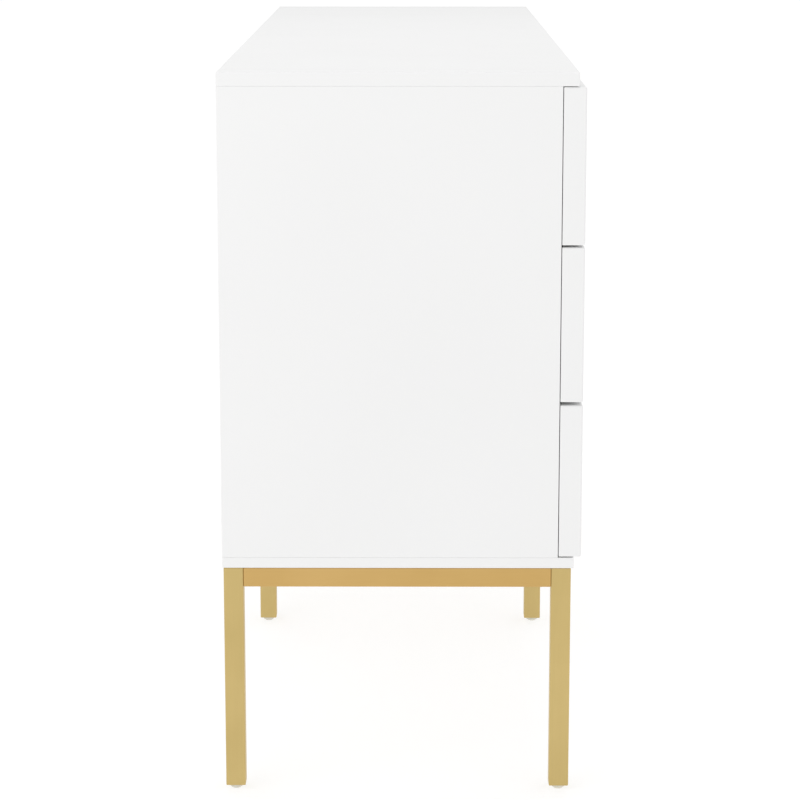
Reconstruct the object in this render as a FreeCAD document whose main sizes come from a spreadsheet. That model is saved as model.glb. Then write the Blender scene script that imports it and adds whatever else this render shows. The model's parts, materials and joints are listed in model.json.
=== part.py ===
import FreeCAD, Part
import os
import re

import Sketcher
from FreeCAD import Placement, Rotation, Vector

# Sideboard on a square-tube base: three wide drawers in the left half and a two-door
# cupboard in the right half. Millimetres, +X to the right, fronts face -Y, +Z up.
# The origin is on the floor, at the middle of the overall box.

DIMENSIONS = {
    # overall
    "overall_length": 1400,
    "overall_depth": 400,
    "overall_height": 810,
    # carcass boards
    "top_thickness": 15,
    "bottom_thickness": 12,
    "side_thickness": 15,
    "back_thickness": 6,
    "back_recess": 4,
    "back_groove": 6,
    "panel_setback": 8,
    "edge_radius": 0.6,
    # fronts and the gaps around them
    "front_thickness": 25,
    "front_height": 171.7,
    "face_edge_radius": 2,
    "rear_edge_radius": 0.5,
    "shadow_gap": 0.8,
    "bottom_gap": 1,
    "lower_joint": 3.7,
    "top_gap": 0.8,
    "front_joint": 3,
    # base frame
    "base_height": 260,
    "tube_side": 22,
    "tube_wall": 1.5,
    "tube_rounding": 1.2,
    "leg_end_inset": 1,
    "front_leg_inset": 11,
    "back_leg_inset": 1.5,
    "glide_height": 5,
    "glide_diameter": 15.5,
    "glide_taper": 2.5,
    "plug_length": 14,
    "tab_side": 32,
    "tab_thickness": 3,
    "screw_radius": 2,
    "screw_head_radius": 4,
    "screw_head_height": 2.5,
    "screw_depth": 10,
    # panel hardware
    "dowel_radius": 4,
    "dowel_in_side": 20,
    "dowel_in_panel": 8,
    "cam_radius": 7.5,
    "cam_depth": 11.5,
    "cam_distance": 34,
    "slot_length": 8,
    "slot_width": 1.4,
    "slot_depth": 2,
    "bolt_radius": 3,
    "bolt_in_panel": 8,
    # cupboard
    "shelf_thickness": 15,
    "shelf_height": 530,
    "shelf_clearance": 1,
    "shelf_front_setback": 14,
    "pin_radius": 2.5,
    "pin_length": 18,
    "pin_hole_depth": 9,
    "pin_hole_pitch": 32,
    "pin_inset": 45,
    # door pivots and push latches
    "pivot_from_edge": 4.5,
    "pivot_from_face": 4.5,
    "pivot_pin_radius": 1.5,
    "pivot_clearance": 0.05,
    "pin_end_gap": 0.3,
    "collar_radius": 2.5,
    "leaf_length": 60,
    "leaf_width": 12,
    "leaf_thickness": 2.5,
    "leaf_setback": 2,
    "leaf_recess": 2,
    "plate_setback": 1,
    "plate_width": 16,
    "latch_side": 14,
    "latch_length": 60,
    "latch_from_edge": 26,
    "plunger_radius": 4,
    "plunger_clearance": 0.1,
    "plunger_gap": 0.3,
    "plunger_length": 40,
    "spring_room": 5,
    # drawer boxes and runners
    "box_board": 12,
    "box_height": 120,
    "box_depth": 340,
    "box_lift": 20,
    "box_bottom_thickness": 6,
    "box_groove": 6,
    "box_bottom_lift": 6,
    "front_dowel_depth": 12,
    "runner_length": 350,
    "runner_setback": 3.5,
    "runner_lift": 30,
    "runner_height": 45,
    "runner_depth": 12.7,
    "runner_metal": 1.2,
    "runner_hole_radius": 2.3,
    "outer_shortfall": 3,
    "middle_shortfall": 2.5,
    "member_gap": 1,
    "member_step_height": 2.6,
    "middle_shortening": 10,
    "inner_shortening": 20,
}

doc = FreeCAD.newDocument("Sideboard")
sheet = doc.addObject("Spreadsheet::Sheet", "Dimensions")
for row, (alias, value) in enumerate(DIMENSIONS.items(), start=1):
    sheet.set(f"A{row}", alias)
    sheet.set(f"B{row}", str(value))
    sheet.setAlias(f"B{row}", alias)
doc.recompute()

NODES = {}
# Distances under this count as nothing when edges are picked.
TOUCHING = 0.01

# Planes of the object, as expressions of the driving dimensions.
LEFT = "(-overall_length / 2)"
RIGHT = "(overall_length / 2)"
FACE = "(-overall_depth / 2)"
REAR = "(overall_depth / 2)"
FRONT_BACK = f"({FACE} + front_thickness)"
CARCASS_FRONT = f"({FRONT_BACK} + shadow_gap)"
PANEL_FRONT = f"({FACE} + panel_setback)"
BACK_FACE = f"({REAR} - back_recess - back_thickness)"
INNER_FLOOR = "(base_height + bottom_thickness)"
CEILING = "(overall_height - top_thickness)"
SIDE_LEFT_INNER = f"({LEFT} + side_thickness)"
SIDE_RIGHT_INNER = f"({RIGHT} - side_thickness)"
PARTITION_LEFT = "(-side_thickness / 2)"
PARTITION_RIGHT = "(side_thickness / 2)"

# The three tiers of drawers, from the bottom: the height of each front's lower edge.
TIERS = {
    "lower": f"({INNER_FLOOR} + bottom_gap)",
    "middle": f"({INNER_FLOOR} + bottom_gap + front_height + lower_joint)",
    "upper": f"({CEILING} - top_gap - front_height)",
}


def bind(item, prop, expression):
    """Bind a property to an expression of the sheet's aliases."""
    text = re.sub(r"[a-z_]{3,}", lambda word: "Dimensions." + word.group(), str(expression))
    item.setExpression(prop, text)


def place(item, x, y, z, rotation=None):
    """Give an object its rotation and bind its position."""
    item.Placement = Placement(Vector(0, 0, 0), rotation or Rotation())
    for letter, value in zip("xyz", (x, y, z)):
        bind(item, f"Placement.Base.{letter}", value)
    return item


def node(label, item):
    """Make an object the final shape of one piece, or group of fasteners."""
    item.Label = label
    NODES[label] = item
    return item


def block(x, y, z):
    """A plain box from three (low, high) spans."""
    item = doc.addObject("Part::Box", "Block")
    for prop, (low, high) in zip(("Length", "Width", "Height"), (x, y, z)):
        bind(item, prop, f"{high} - {low}")
    return place(item, x[0], y[0], z[0])


TURN = {
    "+X": Rotation(Vector(0, 1, 0), 90),
    "-X": Rotation(Vector(0, 1, 0), -90),
    "+Y": Rotation(Vector(1, 0, 0), -90),
    "-Y": Rotation(Vector(1, 0, 0), 90),
    "+Z": Rotation(),
    "-Z": Rotation(Vector(1, 0, 0), 180),
}


def rod(start, direction, length, radius):
    """A cylinder from a start point along one of the axes."""
    item = doc.addObject("Part::Cylinder", "Rod")
    bind(item, "Height", length)
    bind(item, "Radius", radius)
    return place(item, *start, TURN[direction])


def cut(base, tools):
    """Take away tools from a base."""
    item = doc.addObject("Part::Cut", "Cut")
    item.Base = base
    item.Tool = tools[0] if len(tools) == 1 else fuse(tools)
    return item


def fuse(pieces):
    """Join pieces into one solid."""
    item = doc.addObject("Part::MultiFuse", "Fuse")
    item.Shapes = pieces
    item.Refine = True
    return item


def group(pieces):
    """Keep separate solids together in one object."""
    item = doc.addObject("Part::Compound", "Group")
    item.Links = pieces
    return item


def copy_at(master, x, y, z, rotation=None):
    """Another piece like the master, somewhere else."""
    item = doc.addObject("App::Link", "Copy")
    item.LinkedObject = master
    return place(item, x, y, z, rotation)


def side_span(wall, direction, near, far):
    """The X span between two distances from a wall, on the side it faces."""
    if direction > 0:
        return (f"({wall} + {near})", f"({wall} + {far})")
    return (f"({wall} - {far})", f"({wall} - {near})")


def origin_plane(body, role):
    """One of a body's own origin planes."""
    return next(plane for plane in body.Origin.OriginFeatures if plane.Role == role)


def add_sketch(body, name, lift=None):
    """An empty sketch on a body's XY plane, lifted if asked."""
    sketch = body.newObject("Sketcher::SketchObject", name)
    sketch.AttachmentSupport = [(origin_plane(body, "XY_Plane"), "")]
    sketch.MapMode = "FlatFace"
    if lift:
        bind(sketch, "AttachmentOffset.Base.z", lift)
    return sketch


def draw_rectangle(sketch, prefix, width, height, centred):
    """A constrained rectangle: one corner on the origin, or centred on it."""
    first = sketch.GeometryCount
    corners = [Vector(-1, -1, 0), Vector(1, -1, 0), Vector(1, 1, 0), Vector(-1, 1, 0)]
    if not centred:
        corners = [corner + Vector(1, 1, 0) for corner in corners]
    for index in range(4):
        sketch.addGeometry(Part.LineSegment(corners[index], corners[(index + 1) % 4]), False)
    for index in range(4):
        following = first + (index + 1) % 4
        sketch.addConstraint(Sketcher.Constraint("Coincident", first + index, 2, following, 1))
        direction = "Horizontal" if index % 2 == 0 else "Vertical"
        sketch.addConstraint(Sketcher.Constraint(direction, first + index))
    if centred:
        sketch.addConstraint(Sketcher.Constraint("Symmetric", first, 1, first + 1, 2, -1, 1))
    else:
        sketch.addConstraint(Sketcher.Constraint("Coincident", first, 1, -1, 1))
    sizes = (("DistanceX", 0, "Width", width), ("DistanceY", 1, "Height", height))
    for kind, line, suffix, value in sizes:
        number = sketch.addConstraint(Sketcher.Constraint(kind, first + line, 1, first + line, 2, 2))
        sketch.renameConstraint(number, prefix + suffix)
        bind(sketch, f"Constraints.{prefix}{suffix}", value)


def draw_circle(sketch, diameter):
    """A constrained circle on the sketch's origin."""
    sketch.addGeometry(Part.Circle(Vector(0, 0, 0), Vector(0, 0, 1), 5), False)
    sketch.addConstraint(Sketcher.Constraint("Coincident", 0, 3, -1, 1))
    number = sketch.addConstraint(Sketcher.Constraint("Diameter", 0, 10))
    sketch.renameConstraint(number, "Diameter")
    bind(sketch, "Constraints.Diameter", diameter)


def add_pad(body, sketch, length):
    """Pad a sketch along its normal."""
    pad = body.newObject("PartDesign::Pad", "Pad")
    pad.Profile = sketch
    bind(pad, "Length", length)
    sketch.Visibility = False
    return pad


def soften_edges(body, feature, choose, size, kind="Fillet"):
    """Round or chamfer the edges of a feature that the test chooses."""
    doc.recompute()
    names = [
        f"Edge{number}"
        for number, edge in enumerate(feature.Shape.Edges, start=1)
        if choose(edge)
    ]
    softened = body.newObject(f"PartDesign::{kind}", "Softened")
    softened.Base = (feature, names)
    bind(softened, "Radius" if kind == "Fillet" else "Size", size)
    return softened


def board(x, y, z):
    """A body with a sharp-edged board, from three (low, high) spans, and its pad."""
    body = doc.addObject("PartDesign::Body", "Board")
    sketch = add_sketch(body, "Outline")
    draw_rectangle(sketch, "board", f"{x[1]} - {x[0]}", f"{y[1]} - {y[0]}", centred=False)
    pad = add_pad(body, sketch, f"{z[1]} - {z[0]}")
    return place(body, x[0], y[0], z[0]), pad


def panel(x, y, z):
    """A carcass board with softly rounded edges."""
    body, pad = board(x, y, z)
    soften_edges(body, pad, lambda edge: True, "edge_radius")
    return body


def front_panel(x, z):
    """A drawer front or door: round at the face and the ends, nearly sharp at the back."""
    body, pad = board(x, (FACE, FRONT_BACK), z)

    def is_at_back(edge):
        return edge.BoundBox.YMin > DIMENSIONS["front_thickness"] - TOUCHING

    rounded = soften_edges(body, pad, lambda edge: not is_at_back(edge), "face_edge_radius")
    soften_edges(body, rounded, is_at_back, "rear_edge_radius")
    return body


def tube(direction, start, length):
    """A square tube with its outer edges rounded, from the middle of its end."""
    body = doc.addObject("PartDesign::Body", "Tube")
    sketch = add_sketch(body, "Section")
    draw_rectangle(sketch, "outer", "tube_side", "tube_side", centred=True)
    bore = "tube_side - 2 * tube_wall"
    draw_rectangle(sketch, "bore", bore, bore, centred=True)
    pad = add_pad(body, sketch, length)
    corner = DIMENSIONS["tube_side"] / 2

    def is_outer(edge):
        middle = edge.valueAt((edge.FirstParameter + edge.LastParameter) / 2)
        return max(abs(middle.x), abs(middle.y)) > corner - TOUCHING

    soften_edges(body, pad, is_outer, "tube_rounding")
    return place(body, *start, TURN[direction])


# ---------------------------------------------------------------- panel hardware

# Each upright board is held at both ends by dowels, and by cam bolts that draw it tight.
UPRIGHTS = {
    "left": (f"({LEFT} + side_thickness / 2)", SIDE_LEFT_INNER, "-X"),
    "middle": ("0", PARTITION_RIGHT, "-X"),
    "right": (f"({RIGHT} - side_thickness / 2)", SIDE_RIGHT_INNER, "+X"),
}
# Rows along the depth, as shares of it from the middle.
DOWEL_ROWS = [f"(overall_depth * ({share}))" for share in (-0.35, 0.02, 0.4)]
BOLT_ROWS = [f"(overall_depth * ({share}))" for share in (-0.25, 0.3)]
ENDS = ((INNER_FLOOR, "-", "+Z"), (CEILING, "+", "-Z"))


def cross_slot(face, direction, row, height):
    """The screwdriver cross in the face of a cam lock."""
    x = side_span(face, direction, "0", "slot_depth")
    arms = []
    for reach_y, reach_z in (("slot_length", "slot_width"), ("slot_width", "slot_length")):
        y = (f"({row} - {reach_y} / 2)", f"({row} + {reach_y} / 2)")
        z = (f"({height} - {reach_z} / 2)", f"({height} + {reach_z} / 2)")
        arms.append(block(x, y, z))
    return arms


def build_panel_hardware():
    """Dowels, cam bolts and cam locks for the uprights, and what to bore for them."""
    dowels = []
    bolts = []
    locks = []
    lock_bores = []
    for middle, face, into_board in UPRIGHTS.values():
        for plane, outward, inward in ENDS:
            start = f"({plane} {outward} dowel_in_panel)"
            for row in DOWEL_ROWS:
                reach = "dowel_in_side + dowel_in_panel"
                dowels.append(rod((middle, row, start), inward, reach, "dowel_radius"))
            back_in = "+" if outward == "-" else "-"
            lock_height = f"({plane} {back_in} cam_distance)"
            for row in BOLT_ROWS:
                reach = "bolt_in_panel + cam_distance - bolt_radius"
                start = f"({plane} {outward} bolt_in_panel)"
                bolt = rod((middle, row, start), inward, reach, "bolt_radius")
                lock = rod((face, row, lock_height), into_board, "cam_depth", "cam_radius")
                slots = cross_slot(face, 1 if into_board == "+X" else -1, row, lock_height)
                bolts.append(bolt)
                lock_bores.append(lock)
                locks.append(cut(lock, [bolt, *slots]))
    node("panel_dowels", group(dowels))
    node("cam_bolts", group(bolts))
    node("cam_locks", group(locks))
    return dowels + bolts + lock_bores


# ---------------------------------------------------------------- door positions

DOOR_Z = (f"({INNER_FLOOR} + bottom_gap)", f"({CEILING} - top_gap)")
DOOR_WIDTH = "((overall_length / 2 - 1.5 * front_joint) / 2)"
DOORS = {
    # hinge edge, direction from it towards the free edge
    "left": ("(front_joint / 2)", 1),
    "right": (RIGHT, -1),
}
PIVOT_Y = f"({FACE} + pivot_from_face)"
# One pivot at each end of a door: door edge, carcass surface, direction into the carcass.
PIVOTS = {"bottom": (DOOR_Z[0], INNER_FLOOR, -1), "top": (DOOR_Z[1], CEILING, 1)}


def height_span(plane, direction, near, far):
    """The Z span between two distances from a plane."""
    if direction > 0:
        return (f"({plane} + {near})", f"({plane} + {far})")
    return (f"({plane} - {far})", f"({plane} - {near})")


def leaf_x(door, reach):
    """An X span that starts just inside the door's hinge edge."""
    edge, direction = DOORS[door]
    return side_span(edge, direction, "leaf_setback", f"(leaf_setback + {reach})")


def carcass_leaf(door, end):
    """The leaf let into the top or bottom panel, with an ear that reaches to the pivot."""
    _, plane, into = PIVOTS[end]
    z = height_span(plane, into, "(leaf_recess - leaf_thickness)", "leaf_recess")
    plate_front = f"({PANEL_FRONT} + plate_setback)"
    plate = block(leaf_x(door, "leaf_length"), (plate_front, f"({plate_front} + plate_width)"), z)
    ear_width = "(2 * (pivot_from_edge - leaf_setback))"
    ear = block(leaf_x(door, ear_width), (f"({FACE} + leaf_setback)", plate_front), z)
    return fuse([plate, ear])


def door_leaf(door, end):
    """The leaf let into the door's end."""
    edge_height, _, into = PIVOTS[end]
    z = height_span(edge_height, -into, "0", "leaf_thickness")
    y = (f"({FACE} + leaf_setback)", f"({FACE} + leaf_setback + leaf_width)")
    return block(leaf_x(door, "leaf_length"), y, z)


def pivot_axis(door):
    """The X of a door's pivot axis."""
    edge, direction = DOORS[door]
    return side_span(edge, direction, "pivot_from_edge", "pivot_from_edge")[0]


def pivot_pin(door, end):
    """A pin fixed in the carcass leaf, with a collar that keeps the leaves apart."""
    edge_height, plane, into = PIVOTS[end]
    axis = (pivot_axis(door), PIVOT_Y)
    sign = "-" if into < 0 else "+"
    back = "+" if into < 0 else "-"
    tip = f"({edge_height} {back} (leaf_thickness - pin_end_gap))"
    root = f"({plane} {sign} leaf_recess)"
    low, high = (root, tip) if into < 0 else (tip, root)
    shank = rod((*axis, low), "+Z", f"({high} - {low})", "pivot_pin_radius")
    leaf_side = f"({plane} {back} (leaf_thickness - leaf_recess))"
    door_side = f"({edge_height} {sign} pivot_clearance)"
    low, high = (leaf_side, door_side) if into < 0 else (door_side, leaf_side)
    collar = rod((*axis, low), "+Z", f"({high} - {low})", "collar_radius")
    return fuse([shank, collar])


def build_door_pivots():
    """Carcass leaves, door leaves and pins for both doors."""
    plates = []
    pins = []
    for door in DOORS:
        leaves = []
        for end in PIVOTS:
            edge_height, plane, into = PIVOTS[end]
            direction = "-Z" if into < 0 else "+Z"
            opposite = "+Z" if into < 0 else "-Z"
            sign = "+" if into < 0 else "-"
            start = (pivot_axis(door), PIVOT_Y, f"({plane} {sign} leaf_thickness)")
            bore = rod(start, direction, "2 * leaf_thickness", "pivot_pin_radius")
            plates.append(cut(carcass_leaf(door, end), [bore]))
            start = (pivot_axis(door), PIVOT_Y, edge_height)
            bore = rod(start, opposite, "leaf_thickness", "pivot_pin_radius + pivot_clearance")
            leaves.append(cut(door_leaf(door, end), [bore]))
            pins.append(pivot_pin(door, end))
        node(f"{door}_door_pivot_leaves", group(leaves))
    node("carcass_pivot_leaves", group(plates))
    node("pivot_pins", group(pins))


def build_doors():
    """Two flush doors, let in at both ends for the pivot leaves."""
    for door, (edge, direction) in DOORS.items():
        x = side_span(edge, direction, "0", DOOR_WIDTH)
        recesses = [door_leaf(door, end) for end in PIVOTS]
        node(f"{door}_door", cut(front_panel(x, DOOR_Z), recesses))


# ---------------------------------------------------------------- cupboard fittings

PIN_ROWS = (f"({CARCASS_FRONT} + pin_inset)", f"({BACK_FACE} - pin_inset)")
PIN_HEIGHT = "(shelf_height - pin_radius)"
CUPBOARD_WALLS = {
    # wall, direction out of the wall into the cupboard
    "partition": (PARTITION_RIGHT, 1),
    "side": (SIDE_RIGHT_INNER, -1),
}
HOLES_EACH_WAY = 3


def shelf_pin_holes(wall):
    """Two rows of holes for the shelf pins, one pitch apart."""
    plane, direction = CUPBOARD_WALLS[wall]
    into = "-X" if direction > 0 else "+X"
    holes = []
    for row in PIN_ROWS:
        for step in range(-HOLES_EACH_WAY, HOLES_EACH_WAY + 1):
            height = f"({PIN_HEIGHT} + ({step}) * pin_hole_pitch)"
            holes.append(rod((plane, row, height), into, "pin_hole_depth", "pin_radius"))
    return holes


def build_shelf():
    """An adjustable shelf on four pins."""
    x = (f"({PARTITION_RIGHT} + shelf_clearance)", f"({SIDE_RIGHT_INNER} - shelf_clearance)")
    y = (f"({CARCASS_FRONT} + shelf_front_setback)", f"({BACK_FACE} - shelf_clearance)")
    z = ("shelf_height", "(shelf_height + shelf_thickness)")
    node("cupboard_shelf", panel(x, y, z))
    pins = []
    for plane, direction in CUPBOARD_WALLS.values():
        start_x = side_span(plane, -direction, "pin_hole_depth", "pin_hole_depth")[0]
        for row in PIN_ROWS:
            way = "+X" if direction > 0 else "-X"
            pins.append(rod((start_x, row, PIN_HEIGHT), way, "pin_length", "pin_radius"))
    node("shelf_pins", group(pins))


def build_latches():
    """A push latch for each door, under the top panel beside the door's free edge."""
    housings = []
    for door, (edge, direction) in DOORS.items():
        reach = f"({DOOR_WIDTH} - latch_from_edge)"
        middle = side_span(edge, direction, reach, reach)[0]
        x = (f"({middle} - latch_side / 2)", f"({middle} + latch_side / 2)")
        z = (f"({CEILING} - latch_side)", CEILING)
        y = (CARCASS_FRONT, f"({CARCASS_FRONT} + latch_length)")
        centre = f"({CEILING} - latch_side / 2)"
        bore_radius = "plunger_radius + plunger_clearance"
        bore = rod((middle, CARCASS_FRONT, centre), "+Y", "plunger_length + spring_room", bore_radius)
        housings.append(cut(block(x, y, z), [bore]))
        start = (middle, f"({FRONT_BACK} + plunger_gap)", centre)
        node(f"{door}_latch_plunger", rod(start, "+Y", "plunger_length", "plunger_radius"))
    node("latch_housings", group(housings))


# ---------------------------------------------------------------- carcass

def build_carcass(hardware):
    """Top, bottom, sides, partition and back, bored for the hardware."""
    full_x = (LEFT, RIGHT)
    full_y = (PANEL_FRONT, REAR)
    back_x = (f"({SIDE_LEFT_INNER} - back_groove)", f"({SIDE_RIGHT_INNER} + back_groove)")
    back_y = (BACK_FACE, f"({BACK_FACE} + back_thickness)")
    back = block(back_x, back_y, (INNER_FLOOR, CEILING))
    node("back_panel", back)
    leaves = {end: [carcass_leaf(door, end) for door in DOORS] for end in PIVOTS}
    top = panel(full_x, full_y, (CEILING, "overall_height"))
    node("top_panel", cut(top, hardware + leaves["top"]))
    bottom = panel(full_x, full_y, ("base_height", INNER_FLOOR))
    node("bottom_panel", cut(bottom, hardware + leaves["bottom"] + [NODES["base_screws"]]))
    upright_z = (INNER_FLOOR, CEILING)
    left = panel((LEFT, SIDE_LEFT_INNER), (CARCASS_FRONT, REAR), upright_z)
    node("side_panel_left", cut(left, hardware + [back]))
    right = panel((SIDE_RIGHT_INNER, RIGHT), (CARCASS_FRONT, REAR), upright_z)
    node("side_panel_right", cut(right, hardware + [back] + shelf_pin_holes("side")))
    partition = panel((PARTITION_LEFT, PARTITION_RIGHT), (CARCASS_FRONT, BACK_FACE), upright_z)
    node("centre_partition", cut(partition, hardware + shelf_pin_holes("partition")))


# ---------------------------------------------------------------- base frame

HALF_TUBE = "tube_side / 2"
LEG_X = {
    "left": f"({LEFT} + leg_end_inset + {HALF_TUBE})",
    "middle": "0",
    "right": f"({RIGHT} - leg_end_inset - {HALF_TUBE})",
}
LEG_Y = {
    "front": f"({FACE} + front_leg_inset + {HALF_TUBE})",
    "back": f"({REAR} - back_leg_inset - {HALF_TUBE})",
}
RAIL_Z = f"(base_height - {HALF_TUBE})"
CROSS_RAILS = {"left": "end_rail_left", "middle": "middle_rail", "right": "end_rail_right"}


def build_legs_and_rails():
    """Six legs, three cross rails and two long rails of square tube."""
    for place_x, x in LEG_X.items():
        for place_y, y in LEG_Y.items():
            top = "base_height" if place_x != "middle" else "(base_height - tube_side)"
            leg = tube("+Z", (x, y, "glide_height"), f"{top} - glide_height")
            node(f"leg_{place_y}_{place_x}", leg)
        start = (x, f"({LEG_Y['front']} + {HALF_TUBE})", RAIL_Z)
        span = f"{LEG_Y['back']} - {LEG_Y['front']} - tube_side"
        node(CROSS_RAILS[place_x], tube("+Y", start, span))
    for place_y, y in LEG_Y.items():
        start = (f"({LEG_X['left']} + {HALF_TUBE})", y, RAIL_Z)
        span = f"{LEG_X['right']} - {LEG_X['left']} - tube_side"
        node(f"long_rail_{place_y}", tube("+X", start, span))


def glide_body():
    """A tapered round glide on a square plug that fits the tube's bore."""
    body = doc.addObject("PartDesign::Body", "Glide")
    disc = add_sketch(body, "Disc")
    draw_circle(disc, "glide_diameter")
    pad = add_pad(body, disc, "glide_height")
    soften_edges(body, pad, lambda edge: edge.BoundBox.ZMax < TOUCHING, "glide_taper", "Chamfer")
    plug = add_sketch(body, "Plug", lift="glide_height")
    bore = "tube_side - 2 * tube_wall"
    draw_rectangle(plug, "plug", bore, bore, centred=True)
    add_pad(body, plug, "plug_length")
    return body


def screw_master():
    """A pan-head screw, head down, with its shank pointing up."""
    head = rod(("0", "0", "0"), "+Z", "screw_head_height", "screw_head_radius")
    reach = "screw_head_height + tab_thickness + screw_depth"
    shank = rod(("0", "0", "0"), "+Z", reach, "screw_radius")
    return fuse([head, shank])


def tab_corners():
    """Where the mounting tabs sit: the corner of each bay, and the way into the bay."""
    front = f"({LEG_Y['front']} + {HALF_TUBE})"
    back = f"({LEG_Y['back']} - {HALF_TUBE})"
    columns = (
        (f"({LEG_X['left']} + {HALF_TUBE})", 1),
        (f"(-{HALF_TUBE})", -1),
        (f"({HALF_TUBE})", 1),
        (f"({LEG_X['right']} - {HALF_TUBE})", -1),
    )
    return [(x, dx, y, dy) for x, dx in columns for y, dy in ((front, 1), (back, -1))]


def build_base_fittings():
    """Mounting tabs in the corners of the frame, their screws, and the foot glides."""
    screw = screw_master()
    tabs = []
    screws = []
    for x, dx, y, dy in tab_corners():
        z = ("(base_height - tab_thickness)", "base_height")
        plate = block(side_span(x, dx, "0", "tab_side"), side_span(y, dy, "0", "tab_side"), z)
        middle_x = side_span(x, dx, "tab_side / 2", "tab_side / 2")[0]
        middle_y = side_span(y, dy, "tab_side / 2", "tab_side / 2")[0]
        seat = "(base_height - tab_thickness - screw_head_height)"
        fastener = copy_at(screw, middle_x, middle_y, seat)
        tabs.append(cut(plate, [fastener]))
        screws.append(fastener)
    node("mounting_tabs", group(tabs))
    node("base_screws", group(screws))
    glide = glide_body()
    glides = [copy_at(glide, x, y, "0") for x in LEG_X.values() for y in LEG_Y.values()]
    node("foot_glides", group(glides))


# ---------------------------------------------------------------- drawers

RUNNER_WALLS = ((SIDE_LEFT_INNER, 1), (PARTITION_LEFT, -1))
RUNNER_FRONT = f"({CARCASS_FRONT} + runner_setback)"
# Where dowels and runner holes sit, as shares of the box height and the member's length.
FRONT_DOWEL_SHARES = (0.3, 0.75)
HOLE_SHARES = (0.1, 0.5, 0.9)


def runner_member(wall, direction, low, near, far, step, length, opens_outward):
    """One C-shaped member of a runner: near and far are distances from the wall."""
    inset = f"({step} * member_step_height)"
    x = side_span(wall, direction, near, far)
    y = (RUNNER_FRONT, f"({RUNNER_FRONT} + {length})")
    z = (f"({low} + {inset})", f"({low} + runner_height - {inset})")
    hollow_x = (near, f"({far} - runner_metal)")
    if not opens_outward:
        hollow_x = (f"({near} + runner_metal)", far)
    hollow_z = (f"({z[0]} + runner_metal)", f"({z[1]} - runner_metal)")
    tools = [block(side_span(wall, direction, *hollow_x), y, hollow_z)]
    for share in HOLE_SHARES:
        start = (x[0], f"({RUNNER_FRONT} + {share} * {length})", f"({low} + runner_height / 2)")
        tools.append(rod(start, "+X", f"{far} - {near}", "runner_hole_radius"))
    return cut(block(x, y, z), tools)


def outer_member(low, wall, direction):
    """The member screwed to the carcass."""
    far = "(runner_depth - outer_shortfall)"
    return runner_member(wall, direction, low, "0", far, 0, "runner_length", False)


def middle_member(low, wall, direction):
    """The member that runs at half the drawer's travel."""
    near = "(runner_metal + member_gap)"
    far = "(runner_depth - middle_shortfall)"
    length = "(runner_length - middle_shortening)"
    return runner_member(wall, direction, low, near, far, 1, length, False)


def inner_member(low, wall, direction):
    """The member screwed to the drawer side."""
    near = "(2 * (runner_metal + member_gap))"
    length = "(runner_length - inner_shortening)"
    return runner_member(wall, direction, low, near, "runner_depth", 2, length, True)


def build_drawer(tier, edge):
    """One drawer: front, two sides, back, bottom, dowels and its moving runner members."""
    low = f"({edge} + box_lift)"
    high = f"({low} + box_height)"
    front_x = (LEFT, "(-front_joint / 2)")
    left_x = side_span(SIDE_LEFT_INNER, 1, "runner_depth", "(runner_depth + box_board)")
    right_x = side_span(PARTITION_LEFT, -1, "runner_depth", "(runner_depth + box_board)")
    box_y = (FRONT_BACK, f"({FRONT_BACK} + box_depth)")
    bottom_z = (f"({low} + box_bottom_lift)", f"({low} + box_bottom_lift + box_bottom_thickness)")
    bottom_x = (f"({left_x[1]} - box_groove)", f"({right_x[0]} + box_groove)")
    bottom = block(bottom_x, (f"({FRONT_BACK} - box_groove)", box_y[1]), bottom_z)
    node(f"{tier}_drawer_bottom", bottom)
    dowels = []
    for side in (left_x, right_x):
        middle = f"(({side[0]} + {side[1]}) / 2)"
        for share in FRONT_DOWEL_SHARES:
            start = (middle, f"({FRONT_BACK} - front_dowel_depth)", f"({low} + box_height * {share})")
            dowels.append(rod(start, "+Y", "front_dowel_depth + dowel_in_side", "dowel_radius"))
    joints = node(f"{tier}_drawer_dowels", group(dowels))
    front = front_panel(front_x, (edge, f"({edge} + front_height)"))
    node(f"{tier}_drawer_front", cut(front, [bottom, joints]))
    node(f"{tier}_drawer_side_left", cut(block(left_x, box_y, (low, high)), [bottom, joints]))
    node(f"{tier}_drawer_side_right", cut(block(right_x, box_y, (low, high)), [bottom, joints]))
    back_y = (f"({box_y[1]} - box_board)", box_y[1])
    node(f"{tier}_drawer_back", block((left_x[1], right_x[0]), back_y, (bottom_z[1], high)))
    runner_low = f"({low} + runner_lift)"
    for name, member in (("middle", middle_member), ("inner", inner_member)):
        pair = [member(runner_low, wall, direction) for wall, direction in RUNNER_WALLS]
        node(f"{tier}_drawer_{name}_runners", group(pair))
    return [outer_member(runner_low, wall, direction) for wall, direction in RUNNER_WALLS]


# ---------------------------------------------------------------- assembly

hardware_bores = [group(build_panel_hardware())]
build_base_fittings()
build_legs_and_rails()
build_door_pivots()
build_doors()
build_shelf()
build_latches()
build_carcass(hardware_bores)
outer_runners = []
for tier_name, lower_edge in TIERS.items():
    outer_runners += build_drawer(tier_name, lower_edge)
node("outer_runners", group(outer_runners))
doc.recompute()

for item in doc.Objects:
    if "Invalid" in item.State or "Error" in item.State:
        raise RuntimeError(f"{item.Label} failed: {item.State}")
for label, item in NODES.items():
    if item.Shape.isNull() or not item.Shape.isValid() or not item.Shape.Solids:
        raise RuntimeError(f"{label} has no valid solid")

os.makedirs("parts", exist_ok=True)
for label, item in NODES.items():
    item.Shape.exportStep(f"parts/{label}.step")
print(len(NODES), "nodes")
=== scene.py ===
import json
import math

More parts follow.
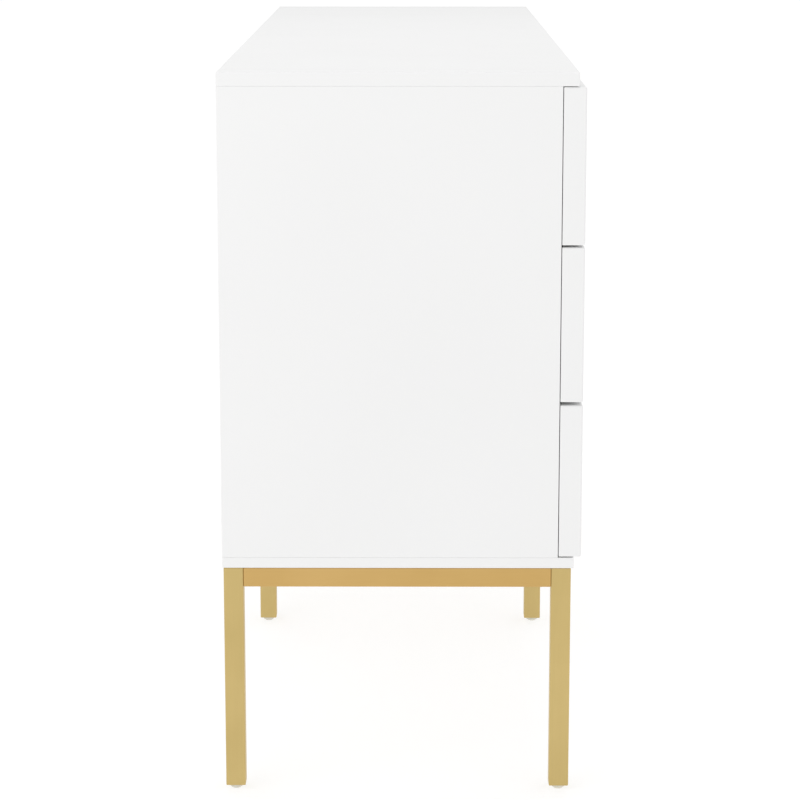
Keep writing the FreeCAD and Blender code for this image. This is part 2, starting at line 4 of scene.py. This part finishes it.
import bpy
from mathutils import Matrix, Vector


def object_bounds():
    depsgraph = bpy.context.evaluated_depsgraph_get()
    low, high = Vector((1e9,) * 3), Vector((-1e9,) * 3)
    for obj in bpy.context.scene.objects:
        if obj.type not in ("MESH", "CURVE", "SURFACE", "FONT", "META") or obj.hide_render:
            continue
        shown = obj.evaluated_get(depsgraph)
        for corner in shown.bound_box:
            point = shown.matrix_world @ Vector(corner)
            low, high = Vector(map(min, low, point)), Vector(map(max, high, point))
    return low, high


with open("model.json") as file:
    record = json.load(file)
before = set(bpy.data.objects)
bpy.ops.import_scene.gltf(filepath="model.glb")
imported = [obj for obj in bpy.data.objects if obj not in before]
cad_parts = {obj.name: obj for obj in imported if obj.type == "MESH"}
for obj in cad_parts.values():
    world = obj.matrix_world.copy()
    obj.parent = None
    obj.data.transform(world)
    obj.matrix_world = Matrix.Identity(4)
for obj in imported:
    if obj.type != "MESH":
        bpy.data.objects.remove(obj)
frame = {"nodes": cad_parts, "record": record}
cad_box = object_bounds()
nodes = frame["nodes"]

# ---------------------------------------------------------------- shader helpers


def new_material(name):
    """A new material, its node tree and its Principled shader."""
    material = bpy.data.materials.new(name)
    material.use_nodes = True
    tree = material.node_tree
    shader = next(node for node in tree.nodes if node.type == "BSDF_PRINCIPLED")
    return material, tree, shader


def add_node(tree, kind, **inputs):
    """A shader node with its named inputs set to values or linked to outputs."""
    node = tree.nodes.new(kind)
    for name, value in inputs.items():
        socket = node.inputs[name.replace("_", " ")]
        if isinstance(value, bpy.types.NodeSocket):
            tree.links.new(value, socket)
        else:
            socket.default_value = value
    return node


def place_in_metres(tree, stretch=(1, 1, 1)):
    """Texture coordinates in metres, stretched along an axis to draw out a grain."""
    coordinates = tree.nodes.new("ShaderNodeTexCoord")
    where = coordinates.outputs["Object"]
    return add_node(tree, "ShaderNodeMapping", Vector=where, Scale=stretch).outputs["Vector"]


def noise(tree, where, scale, detail=3.0, roughness=0.5):
    """A noise value from 0 to 1, with its features 1/scale metres apart."""
    node = add_node(
        tree, "ShaderNodeTexNoise", Vector=where, Scale=scale, Detail=detail, Roughness=roughness
    )
    return node.outputs["Fac"]


def blend_colours(tree, factor, low, high, start=0.3, end=0.7):
    """A colour that goes from low to high as the factor goes from start to end."""
    ramp = tree.nodes.new("ShaderNodeValToRGB")
    tree.links.new(factor, ramp.inputs["Fac"])
    ramp.color_ramp.elements[0].position = start
    ramp.color_ramp.elements[1].position = end
    ramp.color_ramp.elements[0].color = (*low, 1)
    ramp.color_ramp.elements[1].color = (*high, 1)
    return ramp.outputs["Color"]


def spread(tree, factor, low, high):
    """A number that goes from low to high as the factor goes from 0.3 to 0.7."""
    node = add_node(tree, "ShaderNodeMapRange", Value=factor)
    for name, value in (("From Min", 0.3), ("From Max", 0.7), ("To Min", low), ("To Max", high)):
        node.inputs[name].default_value = value
    return node.outputs["Result"]


def bump(tree, height, depth, strength=1.0, under=None):
    """A normal bent by a height, depth metres deep."""
    node = add_node(tree, "ShaderNodeBump", Height=height, Distance=depth, Strength=strength)
    if under:
        tree.links.new(under, node.inputs["Normal"])
    return node.outputs["Normal"]


# ---------------------------------------------------------------- materials


def white_lacquer():
    """Sprayed satin lacquer: almost even white, with a trace of orange peel."""
    material, tree, shader = new_material("white_lacquer")
    where = place_in_metres(tree)
    cloud = noise(tree, where, 3.0, detail=2.0)
    colour = blend_colours(tree, cloud, (0.885, 0.885, 0.883), (0.90, 0.90, 0.898))
    tree.links.new(colour, shader.inputs["Base Color"])
    patches = noise(tree, where, 14.0, detail=4.0)
    tree.links.new(spread(tree, patches, 0.30, 0.38), shader.inputs["Roughness"])
    peel = noise(tree, where, 420.0, detail=2.0)
    fine = noise(tree, where, 1900.0, detail=1.0)
    soft = bump(tree, peel, 0.00003, 0.5)
    tree.links.new(bump(tree, fine, 0.00001, 0.4, under=soft), shader.inputs["Normal"])
    shader.inputs["Coat Weight"].default_value = 0.15
    shader.inputs["Coat Roughness"].default_value = 0.18
    return material


def gold_metal(name, stretch, low, high):
    """Satin gold finish with a fine grain drawn out along the tube."""
    material, tree, shader = new_material(name)
    grain_place = place_in_metres(tree, stretch)
    where = place_in_metres(tree)
    cloud = noise(tree, where, 9.0, detail=3.0)
    grain = noise(tree, grain_place, 1500.0, detail=3.0, roughness=0.6)
    tree.links.new(blend_colours(tree, cloud, low, high), shader.inputs["Base Color"])
    tree.links.new(spread(tree, grain, 0.36, 0.46), shader.inputs["Roughness"])
    tree.links.new(bump(tree, grain, 0.00001, 0.35), shader.inputs["Normal"])
    shader.inputs["Metallic"].default_value = 1.0
    return material


def zinc_steel(name, colour, roughness):
    """Zinc-plated steel with faint cloudy patches and rolling marks."""
    material, tree, shader = new_material(name)
    where = place_in_metres(tree)
    cloud = noise(tree, where, 60.0, detail=4.0)
    dark = tuple(0.93 * channel for channel in colour)
    tree.links.new(blend_colours(tree, cloud, dark, colour), shader.inputs["Base Color"])
    uneven = spread(tree, cloud, roughness - 0.05, roughness + 0.08)
    tree.links.new(uneven, shader.inputs["Roughness"])
    rolled = noise(tree, place_in_metres(tree, (1, 0.05, 1)), 2500.0, detail=2.0)
    tree.links.new(bump(tree, rolled, 0.00001, 0.4), shader.inputs["Normal"])
    shader.inputs["Metallic"].default_value = 1.0
    return material


def foil_board(name, low, high, roughness):
    """Foil-faced board with a slight cloud and a fine pressed texture."""
    material, tree, shader = new_material(name)
    where = place_in_metres(tree)
    cloud = noise(tree, where, 8.0, detail=4.0)
    tree.links.new(blend_colours(tree, cloud, low, high), shader.inputs["Base Color"])
    pressed = noise(tree, where, 1100.0, detail=3.0)
    uneven = spread(tree, pressed, roughness - 0.04, roughness + 0.06)
    tree.links.new(uneven, shader.inputs["Roughness"])
    tree.links.new(bump(tree, pressed, 0.00004, 0.5), shader.inputs["Normal"])
    return material


def beech():
    """Turned hardwood with a grain along the dowels."""
    material, tree, shader = new_material("beech_dowel")
    grain = noise(tree, place_in_metres(tree, (1, 1, 0.08)), 700.0, detail=4.0)
    colour = blend_colours(tree, grain, (0.42, 0.25, 0.12), (0.62, 0.43, 0.25))
    tree.links.new(colour, shader.inputs["Base Color"])
    tree.links.new(bump(tree, grain, 0.0001, 0.5), shader.inputs["Normal"])
    shader.inputs["Roughness"].default_value = 0.6
    return material


def moulded_plastic(name, low, high, roughness):
    """Moulded plastic with a spark-eroded texture."""
    material, tree, shader = new_material(name)
    where = place_in_metres(tree)
    cloud = noise(tree, where, 90.0, detail=3.0)
    tree.links.new(blend_colours(tree, cloud, low, high), shader.inputs["Base Color"])
    eroded = noise(tree, where, 2600.0, detail=2.0)
    uneven = spread(tree, eroded, roughness - 0.05, roughness + 0.05)
    tree.links.new(uneven, shader.inputs["Roughness"])
    tree.links.new(bump(tree, eroded, 0.00003, 0.5), shader.inputs["Normal"])
    shader.inputs["Subsurface Weight"].default_value = 0.05
    shader.inputs["Subsurface Scale"].default_value = 0.003
    return material


# Each gold is the two colours its faint cloud runs between.
LEG_GOLD = ((0.57, 0.43, 0.175), (0.63, 0.48, 0.205))
# The rails have the same finish as the legs. Their warmer, more orange gold is painted light: a
# tinted copy of the leg gold that stands for how the light falls on the rails.
RAIL_GOLD_PAINTED_LIGHT = ((0.60, 0.39, 0.14), (0.65, 0.43, 0.165))

# Texture scales that draw a grain out along one axis.
ALONG = {"X": (0.02, 1, 1), "Y": (1, 0.02, 1), "Z": (1, 1, 0.02)}
SLOT_MATERIALS = {
    "white_lacquer": white_lacquer(),
    "back_board": foil_board("back_board", (0.85, 0.85, 0.84), (0.87, 0.87, 0.86), 0.55),
    "gold_metal": gold_metal("gold_leg", ALONG["Z"], *LEG_GOLD),
    "cream_glide": moulded_plastic("cream_glide", (0.70, 0.67, 0.58), (0.75, 0.73, 0.65), 0.45),
    "beech_dowel": beech(),
    "zinc_steel": zinc_steel("zinc_steel", (0.66, 0.67, 0.69), 0.32),
    "zinc_casting": zinc_steel("zinc_casting", (0.45, 0.46, 0.48), 0.45),
    "drawer_board": foil_board("drawer_board", (0.84, 0.84, 0.83), (0.87, 0.87, 0.86), 0.45),
    "grey_plastic": moulded_plastic("grey_plastic", (0.55, 0.55, 0.55), (0.60, 0.60, 0.60), 0.5),
}
# Painted light: the rails get their own copies of the gold, tinted warmer than the legs' for how
# the light falls on them.
CROSS_RAIL_PAINTED_LIGHT_GOLD = gold_metal("gold_cross_rail_painted_light", ALONG["Y"], *RAIL_GOLD_PAINTED_LIGHT)
LONG_RAIL_PAINTED_LIGHT_GOLD = gold_metal("gold_long_rail_painted_light", ALONG["X"], *RAIL_GOLD_PAINTED_LIGHT)
RAIL_PAINTED_LIGHT_MATERIALS = {
    "end_rail_left": CROSS_RAIL_PAINTED_LIGHT_GOLD,
    "middle_rail": CROSS_RAIL_PAINTED_LIGHT_GOLD,
    "end_rail_right": CROSS_RAIL_PAINTED_LIGHT_GOLD,
    "long_rail_front": LONG_RAIL_PAINTED_LIGHT_GOLD,
    "long_rail_back": LONG_RAIL_PAINTED_LIGHT_GOLD,
}


def dress_nodes():
    """Give every CAD node the material of its slot, except the rails, which get a gold with
    painted light: tinted warmer than the legs' though the finish is the same.
    """
    for part in frame["record"]["subparts"]:
        name = part["node"]
        material = RAIL_PAINTED_LIGHT_MATERIALS.get(name, SLOT_MATERIALS[part["material_slot"]])
        mesh = nodes[name].data
        mesh.materials.clear()
        mesh.materials.append(material)


# ---------------------------------------------------------------- studio

# The floor's side is in metres. The floor glows so that, with the light it returns, it looks
# white, and the camera sees the sky a little brighter than it lights the object.
FLOOR_SIDE = 80.0
FLOOR_GLOW = 0.67
BACKDROP_STRENGTH = 1.02
SKY_STRENGTH = 0.81

# Lamp powers in watts, sizes and places in metres. The key stands off the left end's upper back
# corner and points at the side panel, at this share of the height.
KEY_ENERGY = 4.4
KEY_SIZE = 1.4
KEY_OFFSET = Vector((-1.0, 0.8, 0.7))
KEY_AIM_SHARE = 0.75
OVERHEAD_ENERGY = 9.0
OVERHEAD_SIZE = 1.2
OVERHEAD_HEIGHT = 1.8
OVERHEAD_SHIFT = -0.1

# The camera stands off the left end, at about chest height, and looks along the length. Places
# are in metres, angles in degrees, the lens and the sensor in millimetres.
CAMERA_STAND_OFF = 2.866
CAMERA_HEIGHT = 1.0235
CAMERA_SIDEWAYS = -0.013
CAMERA_PITCH = 11.295
CAMERA_YAW = 0.291
CAMERA_LENS = 119.5
CAMERA_SENSOR = 36.0


def build_floor():
    """A wide plain pale floor."""
    half = FLOOR_SIDE / 2
    mesh = bpy.data.meshes.new("floor")
    corners = [(-half, -half, 0), (half, -half, 0), (half, half, 0), (-half, half, 0)]
    mesh.from_pydata(corners, [], [(0, 1, 2, 3)])
    floor = bpy.data.objects.new("floor", mesh)
    bpy.context.scene.collection.objects.link(floor)
    material, tree, shader = new_material("pale_floor")
    cloud = noise(tree, place_in_metres(tree), 0.8, detail=2.0)
    colour = blend_colours(tree, cloud, (0.40, 0.40, 0.40), (0.42, 0.42, 0.42))
    tree.links.new(colour, shader.inputs["Base Color"])
    shader.inputs["Roughness"].default_value = 0.9
    shader.inputs["Specular IOR Level"].default_value = 0.1
    shader.inputs["Emission Color"].default_value = (1, 1, 1, 1)
    shader.inputs["Emission Strength"].default_value = FLOOR_GLOW
    mesh.materials.append(material)


def build_sky():
    """An even white studio all round, seen brighter than it lights, like a lit backdrop."""
    world = bpy.data.worlds.new("studio")
    world.use_nodes = True
    tree = world.node_tree
    light = tree.nodes["Background"]
    backdrop = tree.nodes.new("ShaderNodeBackground")
    for background, strength in ((light, SKY_STRENGTH), (backdrop, BACKDROP_STRENGTH)):
        background.inputs["Color"].default_value = (1, 1, 1, 1)
        background.inputs["Strength"].default_value = strength
    rays = tree.nodes.new("ShaderNodeLightPath")
    mix = tree.nodes.new("ShaderNodeMixShader")
    tree.links.new(rays.outputs["Is Camera Ray"], mix.inputs["Fac"])
    tree.links.new(light.outputs["Background"], mix.inputs[1])
    tree.links.new(backdrop.outputs["Background"], mix.inputs[2])
    tree.links.new(mix.outputs["Shader"], tree.nodes["World Output"].inputs["Surface"])
    bpy.context.scene.world = world


def add_lamp(name, energy, size, location, aim):
    """A soft square lamp, pointed at a place, that lights without showing up in reflections."""
    lamp = bpy.data.lights.new(name, "AREA")
    lamp.shape = "SQUARE"
    lamp.size = size
    lamp.energy = energy
    holder = bpy.data.objects.new(name, lamp)
    holder.location = location
    holder.visible_camera = False
    holder.visible_glossy = False
    holder.rotation_mode = "QUATERNION"
    holder.rotation_quaternion = (aim - location).to_track_quat("-Z", "Y")
    bpy.context.scene.collection.objects.link(holder)


def build_lamps():
    """A key lamp off the upper back corner of the left end, and one over the top."""
    low, high = cad_box
    middle = (low + high) / 2
    key_place = Vector((low.x, high.y, high.z)) + KEY_OFFSET
    key_aim = Vector((low.x, middle.y, KEY_AIM_SHARE * high.z))
    add_lamp("key", KEY_ENERGY, KEY_SIZE, key_place, key_aim)
    top_middle = Vector((middle.x + OVERHEAD_SHIFT, 0, high.z))
    over = top_middle + Vector((0, 0, OVERHEAD_HEIGHT))
    add_lamp("overhead", OVERHEAD_ENERGY, OVERHEAD_SIZE, over, top_middle)


def build_camera():
    """The camera at the left end, looking a little down along the length."""
    low, high = cad_box
    data = bpy.data.cameras.new("camera")
    data.sensor_width = CAMERA_SENSOR
    data.lens = CAMERA_LENS
    camera = bpy.data.objects.new("camera", data)
    middle = (low.y + high.y) / 2
    camera.location = (low.x - CAMERA_STAND_OFF, middle + CAMERA_SIDEWAYS, CAMERA_HEIGHT)
    pitch = math.radians(CAMERA_PITCH)
    yaw = math.radians(CAMERA_YAW)
    level = math.cos(pitch)
    forward = Vector((level * math.cos(yaw), level * math.sin(yaw), -math.sin(pitch)))
    camera.rotation_mode = "QUATERNION"
    camera.rotation_quaternion = forward.to_track_quat("-Z", "Y")
    bpy.context.scene.collection.objects.link(camera)
    bpy.context.scene.camera = camera


dress_nodes()
build_floor()
build_sky()
build_lamps()
build_camera()
bpy.context.scene.view_settings.view_transform = "Standard"
